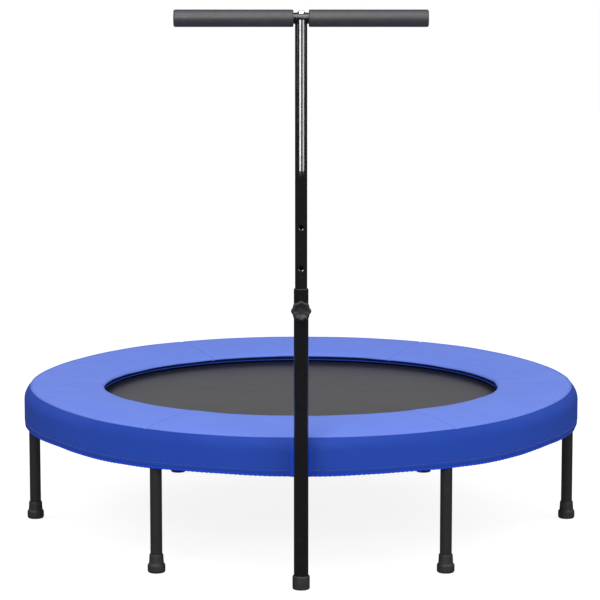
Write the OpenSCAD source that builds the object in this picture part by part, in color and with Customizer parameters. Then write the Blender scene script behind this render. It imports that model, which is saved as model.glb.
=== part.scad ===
// Mini trampoline: a padded round bed on six screw-in legs, with a T-bar handle
// that slides in a post at the front. The front is -Y and the floor is z = 0.
// Angles around the bed count from the front, positive towards +X.

/* [Ring] */
// Radius of the ring tube's centreline
ring_r = 590; // [580:1:592]
// Height of the ring tube's centreline
ring_z = 270; // [266:1:272]
// Outside diameter of the ring tube
ring_d = 25; // [24:0.5:26]
// Wall of every steel tube
tube_wall = 1.5; // [1.2:0.1:1.8]

/* [Legs] */
// Outside diameter of a leg tube
leg_d = 24.5; // [22:0.5:25]
// Largest diameter of a rubber foot
foot_d = 36.5; // [34:0.5:40]
// Height of a rubber foot
foot_h = 38; // [34:1:44]

/* [Bed] */
// Radius of the jumping mat
mat_r = 482; // [478:1:484]
// Height of the mat's top face
mat_top = 281; // [280:0.5:281.5]
// Springs all the way round
spring_count = 36; // [36:12:36]
// Outside diameter of a spring's coil
spring_d = 11; // [9:0.5:13]

/* [Pad] */
// Radius of the pad's inner edge
pad_in_r = 433; // [425:1:440]
// Radius of the seam between pad and skirt
pad_out_r = 600; // [596:0.5:602]
// Height of the pad's underside
pad_bottom = 283.2; // [283:0.1:285]
// Height of the pad's edges
pad_edge_z = 303; // [300:0.5:305]
// Height of the pad's crown
pad_crown_z = 309.5; // [306:0.5:312]
// Radius of the skirt at its widest
skirt_r = 610; // [608:0.5:612]
// Height of the skirt's hem
skirt_bottom = 221; // [215:1:226]

/* [Post] */
// Distance from the ring's centreline to the post's axis
post_gap = 63; // [60:1:75]
// Outside diameter of the post
post_d = 29; // [28.5:0.5:30]
// Height of the top of the post's steel tube
post_top = 601.5; // [595:0.5:620]
// Height of the lock knob's axis
knob_z = 564; // [560:1:566]
// Diameter across the knob's lobes
knob_d = 40; // [34:1:46]

/* [Handle] */
// Outside diameter of the sliding handle tube
handle_d = 24.1; // [23.5:0.1:24.2]
// Distance between adjusting holes
hole_pitch = 80.5; // [70:0.5:85]
// Height of the bend in the handle tube
bend_z = 826; // [820:1:860]
// Lean of the upper handle towards the bed
lean = 12; // [5:1:20]
// Height of the crossbar's axis
bar_z = 1128; // [1100:0.5:1160]
// Diameter of the crossbar
bar_d = 22; // [21:0.5:24]
// Length over the two grips
bar_len = 500; // [440:1:560]
// Outside diameter of a grip
grip_d = 34.5; // [30:0.5:36]
// Bare length between the grips
grip_gap = 30; // [28:1:60]

/* [Hidden] */
SIDES = [for (i = [1 : 6]) i];

$fn = 96;
sixth = 60;
clear = 0.05;               // clearance between parts that touch or slide
past = 1;                   // how far a cutting shape runs past what it cuts
seam_gap = 0.05;            // gap between neighbouring ring sections and sewn panels, in degrees
weld_gap = 0.02;            // gap left where a part is welded on or cupped round a tube
post_r = ring_r + post_gap; // the post's axis, from the ring's axis
ring_tube_r = ring_d / 2;
ring_bore_r = ring_tube_r - tube_wall;
leg_tube_r = leg_d / 2;
saddle_bolt_x = 33;         // from the middle to each bolt of the ring saddle

// Knob stack, as distances in front of the post's axis
lock_thread_r = 4;
tip_gap = 0.3;
boss_reach = post_d / 2 + 9;
washer_t = 1.5;
knob_back = boss_reach + washer_t + 0.2;
knob_t = 18;
knob_front = knob_back + knob_t;

// The ring's axis lies this far behind the origin, so the origin is the box's bottom centre
ring_y = (post_r + knob_front - skirt_r) / 2;

// Handle
bend_r = 70;
tube_bottom = 404;
bar_reach = (bar_z - bend_z) / cos(lean);
tube_end = bar_reach - bar_d / 2 - 8; // from the bend's corner to the tube's top
bend_cut = bend_r * tan(lean / 2);
bend_lap = 0.5;   // the straight lengths run this far into the bend
bend_flat = 0.05; // how much slimmer the tube is in the bend

// Springs, from their hook under the V-ring to their hook in the ring
spring_in = [503, 274.2];
spring_out = [ring_r - 9, 271];

// Arm between the post and the ring
arm_w = 24;
arm_h = 18;
arm_z = 255;

// Turns a child drawn along +X to the given angle around the bed
module around(angle) {
    translate([0, ring_y, 0]) rotate([0, 0, angle - 90]) children();
}

// Puts a child drawn round the z axis on the post's axis
module at_post() {
    translate([0, ring_y - post_r, 0]) children();
}

// A straight rod between two points
module rod(from, to, r) {
    d = to - from;
    translate(from)
        rotate([0, acos(d.z / norm(d)), atan2(d.y, d.x)])
            cylinder(r = r, h = norm(d), $fn = 24);
}

module tube(r, h, wall = tube_wall) {
    difference() {
        cylinder(r = r, h = h);
        translate([0, 0, -past]) cylinder(r = r - wall, h = h + 2 * past);
    }
}

// A round rod pointing away from the bed's axis, between two distances from it
module radial_rod(from, to, r, z = ring_z) {
    translate([from, 0, z]) rotate([0, 90, 0]) cylinder(r = r, h = to - from, $fn = 24);
}

// A bar bent to the ring's own curve, centred on local angle 0
module ring_bar(r, sweep, bore = 0) {
    rotate([0, 0, -sweep / 2])
        rotate_extrude(angle = sweep, $fn = 180)
            translate([ring_r, ring_z]) difference() {
                circle(r = r, $fn = 48);
                if (bore > 0) circle(r = bore, $fn = 48);
            }
}

// ---------- Ring ----------
joint_angles = [60, 180, 300];
bolt_offset = 2.6;  // degrees from a joint to each of its bolts
ring_bolt_r = 3;
bolt_hole_r = 3.2;
ring_nut_h = 5;
hook_hole_r = 2.6;
rivet_nut_r = 5.9;
spigot_wall = 2;
spigot_sweep = 8;   // degrees

// Hole for a joint bolt, right through the ring
module bolt_hole() {
    radial_rod(ring_r - ring_d, ring_r + ring_d, bolt_hole_r);
}

module ring_section(middle) {
    inner_face = ring_r - ring_tube_r;
    color("#1c1c20") difference() {
        around(middle) ring_bar(ring_tube_r, 120 - seam_gap, ring_bore_r);
        for (i = [0 : spring_count / 3 - 1])
            around(middle - 60 + (i + 0.5) * 360 / spring_count)
                radial_rod(inner_face - 3, inner_face + 3, hook_hole_r, spring_out.y);
        for (end = [-1, 1])
            around(middle + end * (60 - bolt_offset)) bolt_hole();
        if (middle == 0)
            for (x = [-saddle_bolt_x, saddle_bolt_x])
                at_post() translate([x, post_gap, ring_z - 20])
                    cylinder(r = rivet_nut_r + 0.1, h = 20, $fn = 32);
    }
}

module ring_spigots() {
    color("#8a8d90") difference() {
        for (a = joint_angles)
            around(a) ring_bar(ring_bore_r - clear, spigot_sweep, ring_bore_r - spigot_wall);
        for (a = joint_angles, side = [-1, 1])
            around(a + side * bolt_offset) bolt_hole();
    }
}

module at_ring_bolts() {
    for (a = joint_angles, side = [-1, 1])
        around(a + side * bolt_offset)
            translate([ring_r, 0, ring_z]) rotate([0, 90, 0]) children();
}

module ring_bolts() {
    color("silver") at_ring_bolts() {
        translate([0, 0, -ring_tube_r - ring_nut_h - 1])
            cylinder(r = ring_bolt_r, h = ring_d + ring_nut_h + 1.1, $fn = 32);
        translate([0, 0, ring_tube_r]) cylinder(r1 = 5.5, r2 = 4, h = 3, $fn = 32);
    }
}

module ring_nuts() {
    color("silver") at_ring_bolts() translate([0, 0, -ring_tube_r - ring_nut_h]) difference() {
        cylinder(r = 5.7, h = ring_nut_h, $fn = 6);
        translate([0, 0, -past]) cylinder(r = ring_bolt_r + clear, h = ring_nut_h + 2 * past, $fn = 32);
    }
}

// ---------- Legs ----------
socket_bottom = 222;
socket_bore = 26;           // depth of the threaded bore in a socket
leg_top = socket_bottom - 0.2;
stud_r = 5;
stud_plug = 20;             // length of the plug that holds a stud in its leg
stud_len = 23;              // how far a stud stands out of its leg
foot_floor = 6;             // thickness of a foot under its leg

function leg_angle(i) = sixth * i - 30;

module at_leg(i) {
    around(leg_angle(i)) translate([ring_r, 0, 0]) children();
}

module leg_sockets() {
    color("#1c1c20") difference() {
        for (i = SIDES)
            at_leg(i) translate([0, 0, socket_bottom])
                cylinder(r = leg_tube_r + 1, h = ring_z - 8 - socket_bottom);
        for (i = SIDES)
            at_leg(i) translate([0, 0, socket_bottom - past])
                cylinder(r = stud_r, h = socket_bore + past, $fn = 48);
        for (i = SIDES)
            around(leg_angle(i)) ring_bar(ring_tube_r + clear, 8);
    }
}

module leg_studs() {
    color("silver") for (i = SIDES)
        at_leg(i) {
            translate([0, 0, leg_top - stud_plug])
                cylinder(r = leg_tube_r - tube_wall - clear, h = stud_plug);
            translate([0, 0, leg_top - 1]) cylinder(r = stud_r - clear, h = stud_len + 1, $fn = 48);
        }
}

module leg(i) {
    color("#1a1a1d") at_leg(i) translate([0, 0, foot_floor])
        tube(leg_tube_r, leg_top - foot_floor);
}

module foot(i) {
    rim_h = 17;
    r = foot_d / 2;
    color("#232326") at_leg(i) rotate_extrude()
        polygon([[0, 0], [r - 1.5, 0], [r, 1.5], [r, rim_h - 1.5], [r - 1.5, rim_h],
                 [leg_tube_r + 3.2, rim_h + 1], [leg_tube_r + 2.3, foot_h - 1], [leg_tube_r + 1.5, foot_h],
                 [leg_tube_r + clear, foot_h], [leg_tube_r + clear, foot_floor], [0, foot_floor]]);
}

// ---------- Handle post ----------
post_tube_r = post_d / 2;
post_floor = 5;
bush_len = 100;
bush_lip = 1.9;
handle_r = handle_d / 2;
stud_hole_r = lock_thread_r + 0.6;
boss_r = 9;

// A round hole or boss along the knob's axis, between two distances in front of the post's axis
module knob_axis(from, to, r) {
    at_post() translate([0, -from, knob_z]) rotate([90, 0, 0]) cylinder(r = r, h = to - from, $fn = 48);
}

module post() {
    color("#1a1a1d") difference() {
        at_post() translate([0, 0, post_floor]) tube(post_tube_r, post_top - post_floor);
        knob_axis(5, 20, stud_hole_r);
    }
}

module post_foot() {
    r = post_tube_r + 2.9;
    h = 28;
    color("#232326") at_post() rotate_extrude()
        polygon([[0, 0], [r - 1.5, 0], [r, 1.5], [r, h - 2], [r - 1, h],
                 [post_tube_r + clear, h], [post_tube_r + clear, post_floor], [0, post_floor]]);
}

module post_bush() {
    inner = handle_r + clear;
    sleeve = post_tube_r - tube_wall - clear;
    color("#101012") difference() {
        at_post() rotate_extrude()
            polygon([[inner, post_top - bush_len], [sleeve, post_top - bush_len], [sleeve, post_top],
                     [post_tube_r - 0.4, post_top], [post_tube_r - 0.4, post_top + bush_lip - 0.6],
                     [post_tube_r - 1, post_top + bush_lip], [inner, post_top + bush_lip]]);
        knob_axis(5, 20, stud_hole_r);
    }
}

module knob_boss() {
    color("#1a1a1d") difference() {
        knob_axis(8, boss_reach, boss_r);
        at_post() translate([0, 0, knob_z - 20]) cylinder(r = post_tube_r + weld_gap, h = 40);
        knob_axis(0, boss_reach + past, lock_thread_r + clear);
    }
}

module post_arm() {
    inner = arm_w - 2 * tube_wall;
    length = post_gap - saddle_w / 2;
    color("#1a1a1d") difference() {
        at_post() translate([-arm_w / 2, 0, arm_z - arm_h / 2]) cube([arm_w, length, arm_h]);
        at_post() translate([-inner / 2, -past, arm_z - arm_h / 2 + tube_wall])
            cube([inner, length + 2 * past, arm_h - 2 * tube_wall]);
        at_post() translate([0, 0, arm_z - arm_h]) cylinder(r = post_tube_r + weld_gap, h = 2 * arm_h);
    }
}

saddle_w = 26;
saddle_len = 90;
saddle_h = 12;
saddle_top = ring_z - 9;
saddle_bolt_r = 4;
saddle_head_h = 5;

module ring_saddle() {
    color("#1a1a1d") difference() {
        at_post() translate([-saddle_len / 2, post_gap - saddle_w / 2, saddle_top - saddle_h])
            cube([saddle_len, saddle_w, saddle_h]);
        around(0) ring_bar(ring_tube_r + clear, 12);
        for (x = [-saddle_bolt_x, saddle_bolt_x])
            at_post() translate([x, post_gap, saddle_top - saddle_h - past])
                cylinder(r = saddle_bolt_r + 0.3, h = saddle_h + 2 * past, $fn = 32);
    }
}

module saddle_bolts() {
    color("silver") for (x = [-saddle_bolt_x, saddle_bolt_x])
        at_post() translate([x, post_gap, saddle_top - saddle_h]) {
            translate([0, 0, -saddle_head_h]) cylinder(r = 7, h = saddle_head_h, $fn = 6);
            translate([0, 0, -1]) cylinder(r = saddle_bolt_r, h = saddle_h + 5, $fn = 32);
        }
}

module rivet_nuts() {
    color("silver") for (x = [-saddle_bolt_x, saddle_bolt_x])
        at_post() translate([x, post_gap, ring_z - ring_tube_r + 2.1]) difference() {
            cylinder(r = rivet_nut_r, h = 11, $fn = 32);
            translate([0, 0, -past]) cylinder(r = saddle_bolt_r + clear, h = 11 + 2 * past, $fn = 32);
        }
}

// ---------- Lock knob ----------
lobe_count = 8;
stud_depth = 12; // depth of the stud's seat in the knob

module lock_knob() {
    lobe_r = 4.6;
    core_r = knob_d / 2 - 3;
    neck = 5;       // length of the plain neck behind the lobes
    face_t = 2;     // height of the round face in front of the lobes
    color("#202023") difference() {
        union() {
            at_post() translate([0, -knob_back - neck, knob_z]) rotate([90, 0, 0])
                linear_extrude(knob_t - neck - face_t) union() {
                    circle(r = core_r);
                    for (i = [0 : lobe_count - 1])
                        rotate(i * 360 / lobe_count) translate([knob_d / 2 - lobe_r, 0])
                            circle(r = lobe_r, $fn = 32);
                }
            knob_axis(knob_back, knob_back + neck + 1, 10.5);
            knob_axis(knob_front - face_t - 1, knob_front, 11);
        }
        knob_axis(knob_back - past, knob_back + stud_depth, lock_thread_r + clear);
    }
}

module lock_stud() {
    color("silver") knob_axis(handle_r + tip_gap, knob_back + stud_depth - 0.1, lock_thread_r);
}

module knob_washer() {
    start = boss_reach + 0.1;
    color("silver") difference() {
        knob_axis(start, start + washer_t, 10);
        knob_axis(start - past, start + washer_t + past, lock_thread_r + clear);
    }
}

// ---------- Handle ----------
height_hole_r = 4.3;
countersink = 1.3; // depth

// Puts a child drawn along +Z, from the bend's corner, on the leaning part of the handle
module leaning() {
    at_post() translate([0, 0, bend_z]) rotate([-lean, 0, 0]) children();
}

// The handle tube's path as a solid bar: straight, bent, straight
module handle_path(r, extra = 0) {
    at_post() translate([0, 0, tube_bottom - extra])
        cylinder(r = r, h = bend_z - bend_cut - tube_bottom + extra + bend_lap);
    at_post() translate([0, bend_r, bend_z - bend_cut]) rotate([90, 0, -90])
        rotate_extrude(angle = lean, $fn = 96) translate([bend_r, 0]) circle(r = r - bend_flat, $fn = 64);
    leaning() translate([0, 0, bend_cut - bend_lap])
        cylinder(r = r, h = tube_end - bend_cut + extra + bend_lap);
}

module handle_tube() {
    color("#1a1a1d") difference() {
        handle_path(handle_r);
        handle_path(handle_r - tube_wall, 1);
        for (i = [0 : 2])
            at_post() translate([0, -handle_r - past, knob_z + i * hole_pitch]) rotate([-90, 0, 0]) {
                cylinder(r = height_hole_r, h = 8, $fn = 32);
                cylinder(r1 = height_hole_r + 5.7, r2 = height_hole_r, h = past + countersink, $fn = 32);
            }
    }
}

module tube_plug() {
    color("#101012") at_post() translate([0, 0, tube_bottom]) {
        translate([0, 0, -3]) cylinder(r = handle_r - 0.3, h = 3);
        cylinder(r = handle_r - tube_wall - clear, h = 14);
    }
}

bar_bolt_r = 2.95;
bolt_length = 45;

// A rod on the crossbar's axis, in the leaning frame
module bar_rod(r, length) {
    translate([-length / 2, 0, bar_reach]) rotate([0, 90, 0]) cylinder(r = r, h = length);
}

// Insert in the tube's top, cupped to carry the crossbar
module bar_saddle() {
    plug = 24;
    color("#151518") difference() {
        leaning() union() {
            translate([0, 0, tube_end - plug]) cylinder(r = handle_r - tube_wall - clear, h = plug + 1);
            translate([0, 0, tube_end]) cylinder(r = handle_r, h = 14);
        }
        leaning() bar_rod(bar_d / 2 + weld_gap, 60);
        leaning() translate([0, 0, tube_end - plug - past])
            cylinder(r = bar_bolt_r + clear, h = 50, $fn = 32);
    }
}

module crossbar() {
    length = bar_len - 16;
    color("#1a1a1d") difference() {
        leaning() translate([-length / 2, 0, bar_reach]) rotate([0, 90, 0]) tube(bar_d / 2, length);
        leaning() translate([0, 0, bar_reach - bar_d])
            cylinder(r = bar_bolt_r + 0.35, h = 2 * bar_d, $fn = 32);
    }
}

// Bolt down through the crossbar, on a washer curved to the bar
module bar_bolt() {
    head_z = bar_reach + bar_d / 2 + 1;
    color("silver") leaning() {
        translate([0, 0, head_z - bolt_length]) cylinder(r = bar_bolt_r, h = bolt_length, $fn = 32);
        difference() {
            translate([0, 0, head_z - 4]) cylinder(r = 8, h = 4, $fn = 48);
            bar_rod(bar_d / 2 + weld_gap, 20);
        }
        translate([0, 0, head_z - 0.1]) cylinder(r1 = 6.5, r2 = 4.5, h = 3, $fn = 48);
    }
}

// side is -1 for the left grip and 1 for the right one
module grip(side) {
    r = grip_d / 2;
    bore = bar_d / 2 + clear;
    start = grip_gap / 2;
    end = bar_len / 2;
    color("#2c2c30") leaning() translate([0, 0, bar_reach]) rotate([0, side * 90, 0])
        rotate_extrude()
            polygon([[bore, start], [r - 1.2, start], [r, start + 1.2], [r, end - 3], [r - 0.9, end - 0.9],
                     [r - 3, end], [0, end], [0, end - 7.9], [bore, end - 7.9]]);
}

// ---------- Bed ----------
mat_t = 2;
hem_w = 36;
vring_wire = 1.3;
vring_r = 488.5;            // radius of the V-rings' straight sides
vring_z = mat_top - 4.65;   // height of the V-rings' straight sides
hook_wire = 1.2;

module disc_ring(inner, outer, bottom, top) {
    translate([0, ring_y, 0]) rotate_extrude($fn = 240)
        translate([inner, bottom]) square([outer - inner, top - bottom]);
}

module mat() {
    color("#5c5c60") translate([0, ring_y, mat_top - mat_t]) cylinder(r = mat_r, h = mat_t, $fn = 240);
}

module mat_hem() {
    color("#2a2a2e") disc_ring(mat_r - hem_w, mat_r, mat_top - mat_t - 1.1, mat_top - mat_t);
}

module at_springs() {
    for (i = [0 : spring_count - 1])
        around((i + 0.5) * 360 / spring_count) children();
}

module ring_tabs() {
    color("#2a2a2e") at_springs() difference() {
        translate([468, -9, mat_top - 6.2]) cube([22.5, 18, 3.1]);
        translate([vring_r, -20, vring_z]) rotate([-90, 0, 0])
            cylinder(r = vring_wire + 0.1, h = 40, $fn = 24);
    }
}

module v_rings() {
    half = 13;
    tip = [504, 0, 277.2];
    color("silver") at_springs() {
        rod([vring_r, -half, vring_z], [vring_r, half, vring_z], vring_wire);
        for (side = [-1, 1]) rod([vring_r, side * half, vring_z], tip, vring_wire);
    }
}

module springs() {
    from = [spring_in.x, 0, spring_in.y];
    to = [spring_out.x, 0, spring_out.y];
    coil_from = from + (to - from) * 0.12;
    coil_to = from + (to - from) * 0.84;
    color("silver") at_springs() {
        rod(from, to, hook_wire);
        rod(coil_from, coil_to, spring_d / 2);
    }
}

// ---------- Pad ----------
skin = 1.5;                 // thickness of the pad's cover
foam_inset = skin + 0.3;
skirt_t = 1.6;
crown_steps = 8;

// Height of the pad's top at a radius, from 0 at the inner edge to 1 at the outer seam
function crown(t) = pad_edge_z + (pad_crown_z - pad_edge_z) * sin(180 * t);
function pad_point(t, drop) =
    [pad_in_r + skin * (drop > 0 ? 1 : 0) + t * (pad_out_r - pad_in_r - (drop > 0 ? 2 * skin : 0)),
     crown(t) - drop];
function pad_curve(drop) = [for (k = [0 : crown_steps]) pad_point(k / crown_steps, drop)];
function reversed(list) = [for (k = [len(list) - 1 : -1 : 0]) list[k]];

module pad_cover(i) {
    color("#728cdc") around(sixth * (i - 1) - 30 + seam_gap / 2)
        rotate_extrude(angle = sixth - seam_gap, $fn = 180)
            polygon(concat([[pad_in_r, pad_bottom]], pad_curve(0), [[pad_out_r, pad_bottom]],
                           [[pad_out_r - skin, pad_bottom]], reversed(pad_curve(skin)),
                           [[pad_in_r + skin, pad_bottom]]));
}

module pad_foam() {
    color("#d8d8d0") for (i = SIDES)
        around(sixth * (i - 1) - 30 + 0.2)
            rotate_extrude(angle = sixth - 0.4, $fn = 180)
                polygon(concat([[pad_in_r + foam_inset, pad_bottom + 1]],
                               [for (k = [0 : crown_steps])
                                   let (t = k / crown_steps)
                                   [pad_in_r + foam_inset + t * (pad_out_r - pad_in_r - 2 * foam_inset),
                                    crown(t) - foam_inset]],
                               [[pad_out_r - foam_inset, pad_bottom + 1]]));
}

module pad_lining() {
    color("#1d3f9c")
        disc_ring(pad_in_r + foam_inset, pad_out_r - foam_inset, pad_bottom, pad_bottom + 0.8);
}

// Half of the skirt's wall outline, from the seam down to the hem
function skirt_curve(shift) = [
    [pad_out_r + 0.4 - shift * 0.2, pad_edge_z - shift],
    [skirt_r - 5 - shift * 0.8, pad_edge_z - 4 - shift * 0.8],
    [skirt_r - 1.2 - shift, pad_edge_z - 16],
    [skirt_r - shift, ring_z],
    [skirt_r - shift, ring_z - 25],
    [skirt_r - 2 - shift, skirt_bottom + 8],
    [skirt_r - 4 - shift, skirt_bottom]];

slit_play = 2; // room round the arm where the front skirt is slit for it

module skirt(i) {
    color("#2b48a0") difference() {
        around(sixth * (i - 1) - 30 + seam_gap / 2)
            rotate_extrude(angle = sixth - seam_gap, $fn = 180)
                polygon(concat(skirt_curve(0), reversed(skirt_curve(skirt_t))));
        if (i == 1)
            at_post() translate([-arm_w / 2 - slit_play, 30, skirt_bottom - past])
                cube([arm_w + 2 * slit_play, 40, arm_z + arm_h / 2 + slit_play - skirt_bottom]);
    }
}

strap_angles = [for (k = [0 : 5], side = [-10, 10]) sixth * k + 30 + side];

// An elastic strap: a sling under the ring, with its ends up beside it
module pad_straps() {
    in_r = ring_tube_r + 0.5;
    out_r = in_r + 1.3;
    width = 18;
    top = pad_bottom - 0.2 - ring_z;
    color("#202024") for (a = strap_angles)
        around(a) translate([ring_r, width / 2, ring_z]) rotate([90, 0, 0]) linear_extrude(width)
            union() {
                difference() {
                    circle(r = out_r, $fn = 64);
                    circle(r = in_r, $fn = 64);
                    translate([-30, 0]) square([60, 30]);
                }
                translate([-out_r, 0]) square([out_r - in_r, top]);
                translate([in_r, 0]) square([out_r - in_r, top]);
            }
}

ring_section(0);  // ring_front
ring_section(120);  // ring_right
ring_section(240);  // ring_left
ring_spigots();
ring_bolts();
ring_nuts();
leg_sockets();
leg_studs();
for (i = SIDES) leg(i);
for (i = SIDES) foot(i);
post();
post_foot();
post_bush();
knob_boss();
post_arm();
ring_saddle();
saddle_bolts();
rivet_nuts();
lock_knob();
lock_stud();
knob_washer();
handle_tube();
tube_plug();
bar_saddle();
crossbar();
bar_bolt();
grip(-1);  // grip_left
grip(1);  // grip_right
mat();
mat_hem();
ring_tabs();
v_rings();
springs();
for (i = SIDES) pad_cover(i);
pad_foam();
pad_lining();
for (i = SIDES) skirt(i);
pad_straps();
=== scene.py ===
"""Looks of the mini trampoline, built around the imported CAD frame. Metres, +Z up, the front at -Y."""

import math

import bpy
import numpy as np
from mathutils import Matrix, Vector


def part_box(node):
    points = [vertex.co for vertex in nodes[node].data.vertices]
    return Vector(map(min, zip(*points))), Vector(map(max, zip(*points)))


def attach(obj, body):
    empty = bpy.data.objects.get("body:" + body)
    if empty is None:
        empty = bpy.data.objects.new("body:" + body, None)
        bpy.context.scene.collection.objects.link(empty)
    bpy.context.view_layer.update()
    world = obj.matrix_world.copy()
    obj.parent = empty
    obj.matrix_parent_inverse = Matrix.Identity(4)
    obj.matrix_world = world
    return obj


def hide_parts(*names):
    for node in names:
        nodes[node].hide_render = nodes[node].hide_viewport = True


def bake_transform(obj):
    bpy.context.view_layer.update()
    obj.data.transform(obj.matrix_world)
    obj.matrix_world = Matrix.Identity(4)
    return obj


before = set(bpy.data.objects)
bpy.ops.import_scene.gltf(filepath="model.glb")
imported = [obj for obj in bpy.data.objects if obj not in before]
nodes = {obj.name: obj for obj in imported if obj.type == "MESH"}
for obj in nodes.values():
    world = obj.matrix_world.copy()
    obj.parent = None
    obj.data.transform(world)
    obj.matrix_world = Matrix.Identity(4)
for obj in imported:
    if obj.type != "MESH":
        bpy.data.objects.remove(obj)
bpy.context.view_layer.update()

MM = 0.001
SIDES = range(1, 7)
PANEL_DEG = 60
SEAMS = (-31.4, 31.4, 91.6, 151.6, 208.4, 268.4, 328.6)    # where the pad's panels meet, in degrees

# ---------------------------------------------------------------- sizes, all read from the frame
mat_low, mat_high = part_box("mat")
AXIS_Y = (mat_low.y + mat_high.y) / 2
MAT_R = (mat_high.x - mat_low.x) / 2
MAT_TOP = mat_high.z
front_pad_low, front_pad_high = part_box("pad_cover_1")
PAD_OUT = AXIS_Y - front_pad_low.y
PAD_IN = (AXIS_Y - front_pad_high.y) / math.cos(math.radians(PANEL_DEG / 2))
PAD_BOTTOM = front_pad_low.z
front_skirt_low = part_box("skirt_1")[0]
SKIRT_R = AXIS_Y - front_skirt_low.y
HEM_Z = front_skirt_low.z
ring_low, ring_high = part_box("ring_front")
RING_Z = (ring_low.z + ring_high.z) / 2
RING_TUBE_R = (ring_high.z - ring_low.z) / 2
RING_R = AXIS_Y - ring_low.y - RING_TUBE_R
PAD_WIDTH = PAD_OUT - PAD_IN
PAD_MIDDLE = (PAD_OUT + PAD_IN) / 2
V_BASE_R = MAT_R + 6.5 * MM      # the straight side of each V-ring, which sits in its tape loop
V_APEX_R = MAT_R + 21.5 * MM     # its corner, where the spring hooks in
V_WIRE_R = 1.25 * MM
arm_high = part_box("post_arm")[1]
post_low, post_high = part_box("post")
POST_Y = (post_low.y + post_high.y) / 2


def polar(r, degrees, z):
    """A point at radius r and that angle round the bed's axis, counted from the front towards +X."""
    a = np.radians(degrees)
    return np.stack(np.broadcast_arrays(r * np.sin(a), AXIS_Y - r * np.cos(a), z), -1)


# ---------------------------------------------------------------- mesh helpers
def finish_mesh(name, verts, faces, uvs=None, smooth=True):
    """A mesh object from points and faces, with a UV map in metres if uvs are given for each point."""
    mesh = bpy.data.meshes.new(name)
    mesh.from_pydata([tuple(map(float, v)) for v in verts], [], [tuple(map(int, f)) for f in faces])
    if uvs is not None:
        layer = mesh.uv_layers.new(name="metres")
        index = np.zeros(len(mesh.loops), int)
        mesh.loops.foreach_get("vertex_index", index)
        layer.data.foreach_set("uv", np.asarray(uvs, np.float32)[index].ravel())
    mesh.polygons.foreach_set("use_smooth", [smooth] * len(mesh.polygons))
    mesh.update()
    piece = bpy.data.objects.new(name, mesh)
    bpy.context.scene.collection.objects.link(piece)
    return piece


def grid_faces(rows, cols, wrap_rows=False, wrap_cols=False):
    """Quads over a rows by cols grid of points, numbered row by row."""
    i = np.arange(rows if wrap_rows else rows - 1)
    j = np.arange(cols if wrap_cols else cols - 1)
    a, b = np.meshgrid(i, j, indexing="ij")
    c, d = (a + 1) % rows, (b + 1) % cols
    quads = np.stack([a * cols + b, a * cols + d, c * cols + d, c * cols + b], -1)
    return quads.reshape(-1, 4)


def run_down(points):
    """How far each row of a (rows, cols, 3) grid lies from the first, along its middle column."""
    steps = np.diff(points[:, points.shape[1] // 2], axis=0)
    return np.concatenate([[0], np.cumsum(np.linalg.norm(steps, axis=1))])


def grid_piece(name, points, wrap_rows=False, wrap_cols=False, uvs=None, caps=False):
    """A piece from a (rows, cols, 3) array of points. caps closes a wrapped grid's first and last row."""
    rows, cols = points.shape[:2]
    faces = grid_faces(rows, cols, wrap_rows, wrap_cols).tolist()
    if caps:
        faces.append(list(range(cols))[::-1])
        faces.append([(rows - 1) * cols + k for k in range(cols)])
    flat_uvs = None if uvs is None else uvs.reshape(-1, 2)
    return finish_mesh(name, points.reshape(-1, 3), faces, flat_uvs)


def lathe(name, outline, centre, axis="Z", segments=96, radius_change=None):
    """Turns an outline of (radius, distance along axis) points about the axis through centre.
    radius_change(angle, distance) may return a factor on the radius."""
    outline = np.array(outline, float)
    angle = np.linspace(0, 2 * math.pi, segments, endpoint=False)
    r = outline[:, 0][:, None] * np.ones(segments)[None, :]
    if radius_change is not None:
        r = r * radius_change(angle[None, :], outline[:, 1][:, None])
    along = outline[:, 1][:, None] * np.ones(segments)[None, :]
    u, v = r * np.cos(angle), r * np.sin(angle)
    stack = {"Z": (u, v, along), "X": (along, u, v), "Y": (v, along, u)}[axis]
    points = np.stack(stack, -1) + np.array(centre)
    return grid_piece(name, points, wrap_cols=True)


def rounded_outline(corners, radius, steps=5):
    """An outline with its inner corners rounded by radius, one number for all or one for each corner."""
    corners = [np.array(c, float) for c in corners]
    radii = radius if hasattr(radius, "__len__") else [radius] * len(corners)
    out = [corners[0]]
    for before, here, after, r in zip(corners, corners[1:], corners[2:], radii[1:]):
        a, b = before - here, after - here
        cut = min(r, 0.45 * np.linalg.norm(a), 0.45 * np.linalg.norm(b))
        start, end = here + a / np.linalg.norm(a) * cut, here + b / np.linalg.norm(b) * cut
        for t in np.linspace(0, 1, steps):
            out.append((1 - t) ** 2 * start + 2 * t * (1 - t) * here + t * t * end)
    out.append(corners[-1])
    return out


def tube_along(name, path, radius, sides=8, closed=False):
    """A round wire of that radius along an (n, 3) path."""
    path = np.asarray(path, float)
    n = len(path)
    ahead = np.roll(path, -1, 0) - np.roll(path, 1, 0)
    if not closed:
        ahead[0], ahead[-1] = path[1] - path[0], path[-1] - path[-2]
    ahead /= np.linalg.norm(ahead, axis=1)[:, None]
    side = np.zeros((n, 3))
    start = np.cross(ahead[0], (0, 0, 1))
    if np.linalg.norm(start) < 1e-3:
        start = np.cross(ahead[0], (0, 1, 0))
    side[0] = start / np.linalg.norm(start)
    for k in range(1, n):
        s = side[k - 1] - ahead[k] * np.dot(side[k - 1], ahead[k])
        side[k] = s / np.linalg.norm(s)
    other = np.cross(ahead, side)
    a = np.linspace(0, 2 * math.pi, sides, endpoint=False)
    ring = side[:, None, :] * np.cos(a)[None, :, None] + other[:, None, :] * np.sin(a)[None, :, None]
    points = path[:, None, :] + radius * ring
    return grid_piece(name, points, wrap_rows=closed, wrap_cols=True, caps=not closed)


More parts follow.
